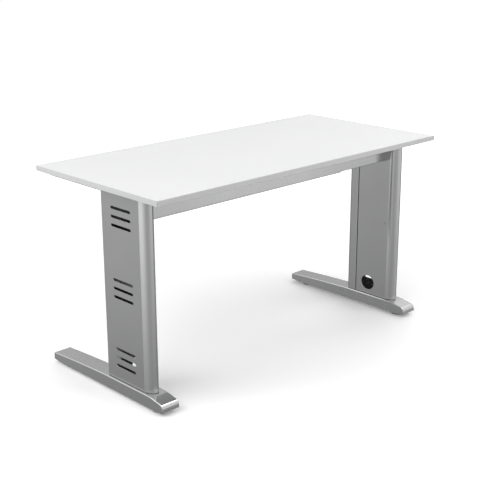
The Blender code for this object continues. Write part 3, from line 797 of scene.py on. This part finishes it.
NOSE_START = COVER_LOW.y - GAP
NOSE_BULGE = 1.077
COVER_RETURN = COVER_HIGH.x - COVER_LOW.x
COVER_BEND = 0.003
PANEL_BEND = 0.0022
TUBE_CORNER = 0.003
SLOT_LENGTH = 0.105
SLOT_HEIGHT = 0.010
SLOT_MIDDLE = -0.095                        # Y of the slots' middles
SLOT_PITCH = 0.0303
SLOT_GROUPS = (0.1388, 0.3904, 0.6420)      # heights of each group's middle slot
COVER_WAY_OUT = 0.01                        # wider notch, so that the cover can pass the arm
CABLE_HOLE = (-0.0961, 0.1045)              # Y and Z of its middle
CABLE_HOLE_HALF_WIDTH = 0.0334
CABLE_HOLE_HALF_HEIGHT = 0.0305
TAPPED_HOLE = (-0.1773, 0.3797)
TAPPED_RADIUS = 0.0025


def nose_outline(inset=0.0):
    """The front upright's section: flat sides, an elliptical nose and a recess for the cover."""
    bulge = HALF_COLUMN * NOSE_BULGE
    start = math.degrees(math.acos(1 / NOSE_BULGE))
    reach = (NOSE_START - NOSE_TIP) / (1 - math.sin(math.radians(start)))
    centre = (0.0, NOSE_TIP + reach)
    side = HALF_COLUMN - inset
    recessed = HALF_COLUMN - SHEET - GAP - inset
    if inset:
        start = math.degrees(math.acos(recessed / (bulge - inset)))
    nose = arc(centre, bulge - inset, reach - inset, -180 + start, -start, 72)
    rear = WEB_REAR - inset
    step = [] if inset else [(recessed, NOSE_START)]
    return [(-side, rear)] + nose + step + [(recessed, rear)]


def arm_notch(knee_side=0.0):
    """The support arm's room at the column's head, widened on the knee side if asked."""
    low, high = leg_local("support_arm")
    return box((low.x - GAP - knee_side, low.y - GAP, low.z - GAP), (high.x + GAP, high.y, DESK_TOP))


def front_upright():
    """The bullnose tube with its tapped hole."""
    tube = prism([nose_outline(), nose_outline(TUBE_WALL)], COLUMN_FLOOR, FRAME_TOP)
    tapped = cylinder(TAPPED_RADIUS, -HALF_COLUMN - REACH, -HALF_COLUMN + REACH, TAPPED_HOLE, "X")
    tube = softened(cut(tube, arm_notch(), tapped), EDGE_BREAK, 2, 40.0)

    # the faces chosen here get the painted shade
    def is_inside(centre, normal):
        """The bore, whose faces look towards the tube's middle, and the web's rear face."""
        if abs(normal.z) > 0.5:
            return False
        if normal.y > 0.9 and centre.y > WEB_REAR - NEARLY / 2:
            return True
        middle = Vector((0.0, (NOSE_TIP + WEB_REAR) / 2 + 0.004, centre.z))
        depth = HALF_COLUMN - abs(centre.x)
        return (middle - centre).dot(normal) > 0.0 and (depth > TUBE_WALL * 0.4 or centre.y < NOSE_START)

    add_leg_metal("bullnose_upright", tube, is_inside, "front_upright")


def rear_upright():
    """The rectangular tube behind the panel, with rounded corners."""
    low, high = leg_local("rear_upright")
    corners = ((low.x, low.y), (high.x, low.y), (high.x, high.y), (low.x, high.y))
    bore_corner = TUBE_CORNER - TUBE_WALL
    outline = []
    bore = []
    for index, (across, along) in enumerate(corners):
        inward = (1 if across < 0 else -1, 1 if index < 2 else -1)
        centre = (across + inward[0] * TUBE_CORNER, along + inward[1] * TUBE_CORNER)
        begin = 180 + 90 * index
        outline += arc(centre, TUBE_CORNER, TUBE_CORNER, begin, begin + 90, 8)
        bore += arc(centre, bore_corner, bore_corner, begin, begin + 90, 4)
    tube = prism([outline, bore], COLUMN_FLOOR, FRAME_TOP)
    tube = softened(cut(tube, arm_notch()), EDGE_BREAK, 2, 40.0)

    def is_inside(centre, normal):
        """The bore, and the side that faces into the column's duct."""
        # the tube's outer side towards the duct shows through the slots and gets the painted shade too
        faces_duct = centre.y < low.y + TUBE_CORNER and centre.x > low.x + TUBE_CORNER
        middle = Vector((0.0, (low.y + high.y) / 2, centre.z))
        return abs(normal.z) < 0.5 and (faces_duct or (middle - centre).dot(normal) > 0.0)

    add_leg_metal("rear_tube", tube, is_inside, "rear_upright")


def inner_panel():
    """The knee-side panel, folded at both edges, with its oval cable hole and holes for the rail."""
    low, high = leg_local("inner_panel")
    inner_face = low.x + SHEET
    corners = ((high.x, high.y), (low.x, high.y), (low.x, low.y), (high.x, low.y))
    panel = folded_sheet(with_bends(corners, PANEL_BEND), SHEET, COLUMN_FLOOR, FRAME_TOP)
    oval = arc(CABLE_HOLE, CABLE_HOLE_HALF_WIDTH, CABLE_HOLE_HALF_HEIGHT, 0, 356.25, 95)
    hole = prism([oval], low.x - REACH, low.x + REACH, "X")
    bolts = bolt_holes("rail_bolt", ("lower", "upper"), low.x, inner_face, "X")
    panel = softened(cut(panel, hole, bolts, arm_notch()), SHEET_BREAK, 2, 40.0)

    # the panel's faces towards the duct get the painted shade
    def is_inside(centre, normal):
        return centre.x > inner_face - NEARLY and (normal.x > 0.5 or centre.x > inner_face + 0.003)

    add_leg_metal("knee_side_panel", panel, is_inside, "inner_panel")


def slot_cutter(height):
    """An obround slot in the outer cover."""
    radius = SLOT_HEIGHT / 2
    reach = SLOT_LENGTH / 2 - radius
    outline = arc((SLOT_MIDDLE + reach, height), radius, radius, -90, 90, 20)
    outline += arc((SLOT_MIDDLE - reach, height), radius, radius, 90, 270, 20)
    return prism([outline], HALF_COLUMN - REACH, HALF_COLUMN + REACH, "X")


def outer_cover():
    """The slotted lift-off cover, folded round the column's back."""
    corners = ((HALF_COLUMN, COVER_LOW.y), (HALF_COLUMN, COVER_HIGH.y),
               (HALF_COLUMN - COVER_RETURN, COVER_HIGH.y))
    sheet = folded_sheet(with_bends(corners, COVER_BEND), SHEET, COLUMN_FLOOR, FRAME_TOP)
    slots = [slot_cutter(group + row * SLOT_PITCH) for group in SLOT_GROUPS for row in (-1, 0, 1)]
    sheet = softened(cut(sheet, joined(*slots), arm_notch(COVER_WAY_OUT)), SHEET_BREAK, 2, 40.0)

    # the cover's faces towards the duct get the painted shade
    def is_inside(centre, normal):
        faces_duct = normal.x < -0.5 and centre.x > 0.0
        return centre.x < HALF_COLUMN - SHEET + NEARLY and (faces_duct or normal.y < -0.5)

    add_leg_metal("slotted_cover", sheet, is_inside, "outer_cover", "cover")


# -------------------- cross rail

RAIL_LIP = 0.010


def rail_path(low, high, bend):
    """A channel open towards the user, with small lips."""
    corners = ((high.y, high.z - RAIL_LIP), (high.y, high.z), (low.y, high.z),
               (low.y, low.z), (high.y, low.z), (high.y, low.z + RAIL_LIP))
    return with_bends(corners, bend)


def cross_rail():
    """The rail's sleeve and insert, with holes for the screws."""
    drills = []
    for screw, radius, level in (("rail_joint_screw", LOCK_CLEARANCE, SLEEVE_LOW.z),
                                 ("rail_top_screw", SCREW_CLEARANCE, SLEEVE_HIGH.z)):
        for _, suffix in SIDES:
            low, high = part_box(f"{screw}_{suffix}")
            centre = ((low + high) / 2).xy
            drills.append(cylinder(radius, level - REACH, level + REACH, centre))
    for part, low, high, bend in (("sleeve", SLEEVE_LOW, SLEEVE_HIGH, 0.0035),
                                  ("insert", INSERT_LOW, INSERT_HIGH, 0.0024)):
        channel = folded_sheet(rail_path(low, high, bend), TUBE_WALL, low.x, high.x, "X")
        channel = softened(cut(channel, joined(*drills)), EDGE_BREAK, 2, 40.0)
        add_piece(f"rail_{part}", channel, "root", [SILVER], [f"cross_rail_{part}"])


def rail_end_plates():
    """The plates welded on the rail's ends, with broken edges and clearance holes."""
    low, high = leg_local("rail_end_plate")
    holes = bolt_holes("rail_bolt", ("lower", "upper"), low.x, high.x, "X")
    plate = softened(cut(box(low, high), holes), 0.0006, 3, 40.0)
    add_leg_pieces("rail_plate", plate, [SILVER], "rail_end_plate")


# -------------------- fasteners

BOLT_RADIUS = 0.0040
BOLT_POINT = 0.0034         # radius of a bolt's end, inside its chamfer
CHAMFER = 0.0010
FASTENER_BREAK = 0.0002     # bevel on a fastener's edges
DOME_HEIGHT = 0.0048        # of the button heads
SOCKET_START = 0.001        # how far outside a head its recess's cutter starts
HEXAGON = 6                 # sides of a bolt head's socket
BOARD_SCREW = 0.002         # radii of the screws' shanks
LOCK_SCREW = 0.003


def bolt_shank(end, seat):
    """A bolt's profile from its chamfered end to the seat of its head."""
    return [(0.0, end), (BOLT_POINT, end), (BOLT_RADIUS, end - CHAMFER), (BOLT_RADIUS, seat)]


def column_bolts():
    """Cap screws through the foot's top, their heads inside the foot."""
    for where in ("front", "rear"):
        low, high = leg_local(f"column_bolt_{where}")
        middle = (low + high) / 2
        head = (high.x - low.x) / 2
        seat = low.z + 0.008
        cap = [(head, seat), (head, low.z + 0.0006), (head - 0.0006, low.z), (0.0, low.z)]
        bolt = turned(bolt_shank(high.z, seat) + cap, (middle.x, middle.y, 0.0), 40)
        socket = cylinder(0.0036, low.z - SOCKET_START, low.z + 0.004, middle.xy, "Z", HEXAGON)
        bolt = softened(cut(bolt, socket), FASTENER_BREAK, 1)
        add_leg_pieces(f"foot_bolt_{where}", bolt, [ZINC], f"column_bolt_{where}")


def rail_bolts():
    """Button-head screws through the rail's end plates."""
    for where in ("lower", "upper"):
        low, high = leg_local(f"rail_bolt_{where}")
        middle = (low + high) / 2
        head = (high.z - low.z) / 2
        seat = low.x + DOME_HEIGHT
        dome = [(across, seat - up) for across, up in arc((0.0, 0.0), head, DOME_HEIGHT, 0, 60, 6)]
        flat = [(head * 0.34, low.x), (0.0, low.x)]
        bolt = turned(bolt_shank(high.x, seat) + dome + flat, (0.0, middle.y, middle.z), 40, "X")
        socket = cylinder(0.0026, low.x - SOCKET_START, low.x + 0.0026, middle.yz, "X", HEXAGON)
        bolt = softened(cut(bolt, socket), FASTENER_BREAK, 1)
        add_leg_pieces(f"plate_bolt_{where}", bolt, [ZINC], f"rail_bolt_{where}")


def cross_recess(mesh, centre, floor):
    """Cuts a cross into a screw head that faces down."""
    reach = 0.0022
    half_width = 0.0005
    arms = []
    for across, along in ((reach, half_width), (half_width, reach)):
        low = (centre[0] - across, centre[1] - along, floor - SOCKET_START)
        high = (centre[0] + across, centre[1] + along, floor + 0.0016)
        arms.append(box(low, high))
    return cut(mesh, *arms)


def pan_head_screw(low, high, shank):
    """A screw driven upward: pan head below, shank above with a tapered tip."""
    middle = (low + high) / 2
    head = (high.x - low.x) / 2
    seat = low.z + 0.0030
    stem = [(0.0, high.z), (shank * 0.6, high.z - 0.003), (shank, high.z - 0.006), (shank, seat)]
    pan = [(head, seat), (head, seat - 0.0008), (head * 0.93, seat - 0.0018),
           (head * 0.75, low.z + 0.0003), (head * 0.5, low.z), (0.0, low.z)]
    screw = turned(stem + pan, (middle.x, middle.y, 0.0), 32)
    return softened(cross_recess(screw, middle.xy, low.z), 0.0001, 1)


def screws():
    """Screws under the top and along the rail."""
    for where in ("front", "rear"):
        node = f"arm_screw_{where}"
        screw = pan_head_screw(*leg_local(node), BOARD_SCREW)
        add_leg_pieces(f"arm_fixing_{where}", screw, [ZINC], node)
    for _, suffix in SIDES:
        for name, screw, shank in (("rail_fixing", "rail_top_screw", BOARD_SCREW),
                                   ("rail_lock", "rail_joint_screw", LOCK_SCREW)):
            node = f"{screw}_{suffix}"
            mesh = pan_head_screw(*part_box(node), shank)
            add_piece(f"{name}_{suffix}", mesh, "root", [ZINC], [node])


# -------------------- nodes whose own shape is right

KEPT_NODE_FINISHES = {
    "support_arm": SILVER,
    "arm_end_plug": GREY_PLASTIC,
    # its black shows in the thin gap between column and foot as a painted shadow line
    "column_base_plate": BLACK_STEEL,
    "rail_bracket": BLACK_STEEL,
    "glide_nut": BLACK_STEEL,
    "cover_clip": ZINC,
}


def finish_remaining_nodes():
    """Gives the nodes that stay their materials."""
    for name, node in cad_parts.items():
        for start, material in KEPT_NODE_FINISHES.items():
            if name.startswith(start):
                if not node.material_slots:
                    node.data.materials.append(material)
                for slot in node.material_slots:
                    slot.material = material


# -------------------- studio and camera

WHITE = (1.0, 1.0, 1.0, 1.0)
BLACK = (0.0, 0.0, 0.0, 1.0)
FLOOR_REACH = 60.0
FLOOR_OWN_LIGHT = 0.18      # share of full white that the floor gives off near the desk


def floor_material():
    """Pale floor: matt near the desk, and lit from itself far away, where the backdrop would be."""
    m = Finish("studio_floor")
    m.set(Roughness=0.9, Specular_IOR_Level=0.0, Emission_Color=WHITE)
    grain = m.mottle(120.0, 2.0, 0.3, 0.7)
    m.colour(m.blend(grain, (0.970, 0.970, 0.970), (0.980, 0.980, 0.980)))
    length = m.add("ShaderNodeVectorMath", operation="LENGTH")
    m.link(m.place, length.inputs[0])
    own_light = m.remap(length.outputs["Value"], 2.2, 4.5, FLOOR_OWN_LIGHT, 1.0)
    m.link(own_light, m.shader.inputs["Emission Strength"])
    return m.material


def stage_piece(name, bm, material):
    """Turns a bmesh into an object that belongs to the studio and not to the desk."""
    mesh = mesh_from(bm)
    mesh.materials.append(material)
    piece = bpy.data.objects.new(name, mesh)
    bpy.context.scene.collection.objects.link(piece)
    return piece


def floor():
    """The floor shows shadows, but it lights nothing and reflections don't see it."""
    bm = bmesh.new()
    bmesh.ops.create_grid(bm, x_segments=2, y_segments=2, size=FLOOR_REACH)
    stage = stage_piece("studio_floor", bm, floor_material())
    stage.visible_glossy = False
    stage.visible_diffuse = False


# What the metal sees: two rings of (direction, brightness), multiplied by (height, brightness).
# Directions are in degrees from +X towards +Y, and heights in degrees above the horizon.
SURROUND_RADIUS = 5.0
SURROUND_MIDDLE = (0.0, 0.0, 0.45)
LOW_RING = (
    # the left: bright, then dimmer towards the visitor's side
    (-180, 1.12), (-177, 1.02), (-170, 0.80), (-163, 0.66), (-155, 0.57), (-145, 0.56), (-132, 0.61),
    # the visitor's side, with a strip light at its right end
    (-118, 0.73), (-104, 0.85), (-90, 0.92), (-76, 0.93), (-62, 0.92), (-50, 1.14), (-39, 0.92),
    (-34, 0.72),
    # the right and the user's side: dark
    (-22, 0.15), (60, 0.12), (100, 0.35),
    # the left again, with its brightest panel
    (127, 0.60), (134, 0.62), (140, 0.54), (147, 0.62), (155, 1.00), (161, 1.38), (170, 1.36), (177, 1.20),
    (180, 1.12),
)
HIGH_RING = (
    (-180, 1.6), (-90, 1.6), (-22, 2.0), (0, 1.9), (15, 1.8), (28, 1.5), (40, 1.0), (60, 1.0), (100, 1.9),
    (130, 2.0), (180, 1.6),
)
BY_HEIGHT = (
    (-90, 0.45), (-35, 0.50), (-27, 0.51), (-24, 0.73), (-19, 0.82), (-15, 0.92), (-10, 1.0), (-5, 1.06),
    (0, 1.12), (12, 0.50), (19, 0.58), (26, 0.68), (37, 0.76), (42, 0.85), (50, 1.5), (60, 2.2), (90, 3.0),
)
BRIGHTEST = 3.0             # the ramps hold brightness as a share of this
HIGH_RING_HEIGHTS = (-4, 10)        # going up, the low ring gives way to the high one
EVEN_HEIGHTS = (-12, -27)           # and going down, to an even light
EVEN_LIGHT = 0.70
EVEN_SHARE = 0.85


def ramp(m, value, stops, place_of):
    """A curve through (angle, brightness) stops. place_of takes an angle to between 0 and 1."""
    node = m.add("ShaderNodeValToRGB")
    points = node.color_ramp.elements
    while len(points) < len(stops):
        points.new(0.5)
    for point, (angle, brightness) in zip(points, stops):
        share = brightness / BRIGHTEST
        point.position = place_of(angle)
        point.color = (share, share, share, 1.0)
    m.link(value, node.inputs["Fac"])
    return node.outputs["Color"]


def height_place(angle):
    """A height in degrees as 0 at the surround's lowest point to 1 at its highest."""
    return (math.sin(math.radians(angle)) + 1) / 2


def direction_place(angle):
    """A direction in degrees as 0 to 1, on the way round from -X."""
    return (angle + 180) / 360


def surround_material():
    """Glows by direction only, as the rings and heights above say."""
    m = Finish("reflected_surround")
    m.set(Base_Color=BLACK, Specular_IOR_Level=0.0, Emission_Color=WHITE)
    parts = m.add("ShaderNodeSeparateXYZ")
    m.link(m.place, parts.inputs[0])
    turn = m.remap(m.maths("ARCTAN2", parts.outputs["Y"], parts.outputs["X"]), -math.pi, math.pi)
    rise = m.remap(parts.outputs["Z"], -SURROUND_RADIUS, SURROUND_RADIUS)
    low, high = (ramp(m, turn, ring, direction_place) for ring in (LOW_RING, HIGH_RING))
    upper = m.remap(rise, *map(height_place, HIGH_RING_HEIGHTS))
    lower = m.remap(rise, *map(height_place, EVEN_HEIGHTS), 0.0, EVEN_SHARE)
    even = (EVEN_LIGHT / BRIGHTEST,) * 3
    ring = m.blend(lower, m.blend(upper, low, high), even)
    glow = m.maths("MULTIPLY", ring, ramp(m, rise, BY_HEIGHT, height_place))
    m.link(m.maths("MULTIPLY", glow, BRIGHTEST ** 2), m.shader.inputs["Emission Strength"])
    m.material.cycles.emission_sampling = "NONE"
    return m.material


def reflected_surround():
    """A glowing shell that only reflections see, round the desk."""
    bm = bmesh.new()
    bmesh.ops.create_uvsphere(bm, u_segments=96, v_segments=48, radius=SURROUND_RADIUS)
    shell = stage_piece("reflected_surround", bm, surround_material())
    shell.location = SURROUND_MIDDLE
    for ray in ("camera", "diffuse", "transmission", "volume_scatter", "shadow"):
        setattr(shell, f"visible_{ray}", False)


# Each soft box: direction and height in degrees, width and height in metres, power in watts.
SOFT_BOXES = (
    (42, 12, 4.0, 2.0, 79.0),
    (22, 42, 3.8, 2.6, 64.0),
    (150, 12, 2.4, 2.0, 54.0),
    (185, 42, 5.5, 2.6, 170.0),
    (300, 42, 4.0, 2.6, 77.0),
    (290, 12, 3.0, 2.0, 58.0),
    (0, 90, 3.4, 3.4, 50.0),
)
LAMP_DISTANCE = 5.0
LAMP_AIM = Vector((0.0, 0.0, 0.4))
GLOW_FROM_BELOW = 0.30


def soft_box(number, direction, height, across, up, power):
    """A rectangular lamp aimed at the desk. Reflections see the surround instead."""
    lamp = bpy.data.lights.new(f"soft_box_{number}", "AREA")
    lamp.shape = "RECTANGLE"
    lamp.size = across
    lamp.size_y = up
    lamp.energy = power
    turn = math.radians(direction)
    rise = math.radians(height)
    away = Vector((math.cos(turn) * math.cos(rise), math.sin(turn) * math.cos(rise), math.sin(rise)))
    light = bpy.data.objects.new(lamp.name, lamp)
    light.location = LAMP_AIM + away * LAMP_DISTANCE
    light.rotation_euler = (-away).to_track_quat("-Z", "Y").to_euler()
    light.visible_glossy = False
    light.visible_camera = False
    bpy.context.scene.collection.objects.link(light)


def backdrop():
    """White to the camera, and a dim glow from below in place of the light that the floor returns."""
    world = bpy.data.worlds.new("backdrop")
    world.use_nodes = True
    sky = Nodes(world.node_tree)
    background = sky.tree.nodes["Background"]
    background.inputs["Color"].default_value = WHITE
    parts = sky.add("ShaderNodeSeparateXYZ")
    sky.link(sky.add("ShaderNodeTexCoord").outputs["Generated"], parts.inputs[0])
    is_below = sky.maths("LESS_THAN", parts.outputs["Z"], 0.0)
    glow = sky.maths("MULTIPLY", is_below, GLOW_FROM_BELOW)
    is_seen = sky.add("ShaderNodeLightPath").outputs["Is Camera Ray"]
    sky.link(sky.maths("MAXIMUM", glow, is_seen), background.inputs["Strength"])
    world.cycles_visibility.glossy = False
    bpy.context.scene.world = world
    bpy.context.scene.view_settings.view_transform = "Standard"


def studio():
    """The floor, the surround, the backdrop and soft boxes all round."""
    floor()
    reflected_surround()
    backdrop()
    for number, facts in enumerate(SOFT_BOXES, 1):
        soft_box(number, *facts)


CAMERA_PLACE = (-2.6006, -2.7074, 1.5815)
CAMERA_YAW = 43.436         # degrees from +Y towards +X
CAMERA_PITCH = 17.424       # degrees down
CAMERA_ROLL = -0.258
CAMERA_LENS = 77.47
SENSOR_WIDTH = 36.0


def camera():
    """The camera at the photograph's viewing angle."""
    data = bpy.data.cameras.new("camera")
    data.lens = CAMERA_LENS
    data.sensor_width = SENSOR_WIDTH
    data.clip_end = 200.0
    view = bpy.data.objects.new("camera", data)
    aim = Matrix.Rotation(math.radians(-CAMERA_YAW), 4, "Z")
    aim = aim @ Matrix.Rotation(math.radians(90.0 - CAMERA_PITCH), 4, "X")
    aim = aim @ Matrix.Rotation(math.radians(CAMERA_ROLL), 4, "Z")
    view.matrix_world = Matrix.Translation(CAMERA_PLACE) @ aim
    bpy.context.scene.collection.objects.link(view)
    bpy.context.scene.camera = view


# -------------------- everything in place

board()
edge_strips()
foot()
glides()
front_upright()
rear_upright()
inner_panel()
outer_cover()
cross_rail()
rail_end_plates()
column_bolts()
rail_bolts()
screws()
finish_remaining_nodes()
studio()
camera()
